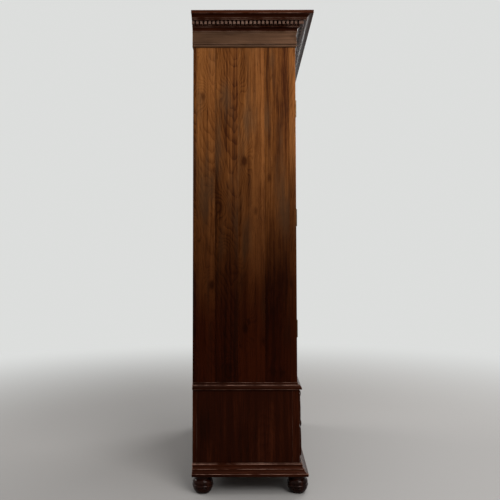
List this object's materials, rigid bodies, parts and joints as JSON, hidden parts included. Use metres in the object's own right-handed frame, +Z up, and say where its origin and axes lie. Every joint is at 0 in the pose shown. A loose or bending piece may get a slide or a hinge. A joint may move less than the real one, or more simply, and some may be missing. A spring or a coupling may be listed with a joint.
{
  "type": "wardrobe",
  "caption": "Tall antique-style wardrobe: boarded upper cabinet with panelled doors, dentil cornice, and a base of long drawers on a moulded plinth with bun feet.",
  "frame": {"origin": "on the floor, under the middle of the outline", "axes": "+Z up, +X across the front from the left door to the right door, -Y out of the front"},
  "size_m": [1.222, 0.544, 2.117],
  "materials": {
    "dark_mahogany": "polished, worn",
    "brown_board": "satin, worn",
    "inside_pine": "waxed, dull",
    "aged_brass": "aged",
    "lock_steel": "aged"
  },
  "bodies": {
    "carcass": {"bun_feet": "dark_mahogany", "plinth_frame": "dark_mahogany", "plinth_blocks": "inside_pine", "base_posts": "dark_mahogany", "base_side_left": "dark_mahogany", "base_side_right": "dark_mahogany", "base_back": "inside_pine", "base_floor": "inside_pine", "base_rails": "dark_mahogany", "base_top": "inside_pine", "drawer_runners": "inside_pine", "drawer_guides": "inside_pine", "waist_moulding": "dark_mahogany", "side_boards_left": "brown_board", "side_boards_right": "brown_board", "front_posts": "brown_board", "back_frame": "inside_pine", "back_boards": "inside_pine", "upper_floor": "dark_mahogany", "upper_top": "inside_pine", "head_rail": "dark_mahogany", "hat_shelf": "inside_pine", "shelf_bearers": "inside_pine", "hanging_rail": "aged_brass", "rail_sockets": "aged_brass", "frieze": "dark_mahogany", "dentil_strips": "dark_mahogany", "crown_moulding": "dark_mahogany", "cornice_board": "inside_pine", "frame_hinge_leaves": "aged_brass"},
    "door_left": {"door_left_hinge_stile": "brown_board", "door_left_meeting_stile": "brown_board", "door_left_rails": "brown_board", "door_left_panels": "brown_board", "door_left_hinge_leaves": "aged_brass", "door_left_knob": "dark_mahogany", "lock_keeper": "lock_steel", "bolt_plates": "aged_brass"},
    "door_right": {"door_right_hinge_stile": "brown_board", "door_right_meeting_stile": "brown_board", "door_right_rails": "brown_board", "door_right_panels": "brown_board", "door_right_hinge_leaves": "aged_brass", "door_right_knob": "dark_mahogany", "lock_case": "lock_steel", "escutcheon": "aged_brass"},
    "lock_bolt": {"lock_bolt": "lock_steel"},
    "door_key": {"door_key": "lock_steel"},
    "bolt_top": {"bolt_top": "aged_brass"},
    "bolt_low": {"bolt_low": "aged_brass"},
    "drawer_upper": {"drawer_upper_front": "dark_mahogany", "drawer_upper_sides": "inside_pine", "drawer_upper_back": "inside_pine", "drawer_upper_bottom": "inside_pine", "drawer_upper_knobs": "dark_mahogany"},
    "drawer_lower": {"drawer_lower_front": "dark_mahogany", "drawer_lower_sides": "inside_pine", "drawer_lower_back": "inside_pine", "drawer_lower_bottom": "inside_pine", "drawer_lower_knobs": "dark_mahogany"}
  },
  "joints": [
    {"name": "door_left_hinge", "type": "hinge", "parent": "carcass", "child": "door_left", "pos_m": [-0.48725, -0.1978, 1.202], "axis": [0, 0, -1], "range_deg": [0, 110]},
    {"name": "door_right_hinge", "type": "hinge", "parent": "carcass", "child": "door_right", "pos_m": [0.48725, -0.1978, 1.202], "axis": [0, 0, 1], "range_deg": [0, 110]},
    {"name": "key_turn", "type": "hinge", "parent": "door_right", "child": "door_key", "pos_m": [0.02925, -0.1925, 1.101], "axis": [0, 1, 0], "range_deg": [0, 180]},
    {"name": "lock_bolt_slide", "type": "slide", "parent": "door_right", "child": "lock_bolt", "axis": [-1, 0, 0], "range_m": [0, 0.012]},
    {"name": "bolt_top_slide", "type": "slide", "parent": "door_left", "child": "bolt_top", "axis": [0, 0, 1], "range_m": [0, 0.015]},
    {"name": "bolt_low_slide", "type": "slide", "parent": "door_left", "child": "bolt_low", "axis": [0, 0, -1], "range_m": [0, 0.015]},
    {"name": "drawer_upper_slide", "type": "slide", "parent": "carcass", "child": "drawer_upper", "axis": [0, -1, 0], "range_m": [0, 0.3]},
    {"name": "drawer_lower_slide", "type": "slide", "parent": "carcass", "child": "drawer_lower", "axis": [0, -1, 0], "range_m": [0, 0.3]}
  ],
  "couplings": [
    {"joint": "key_turn", "follows": "lock_bolt_slide", "rad_per_m": 261.5}
  ]
}
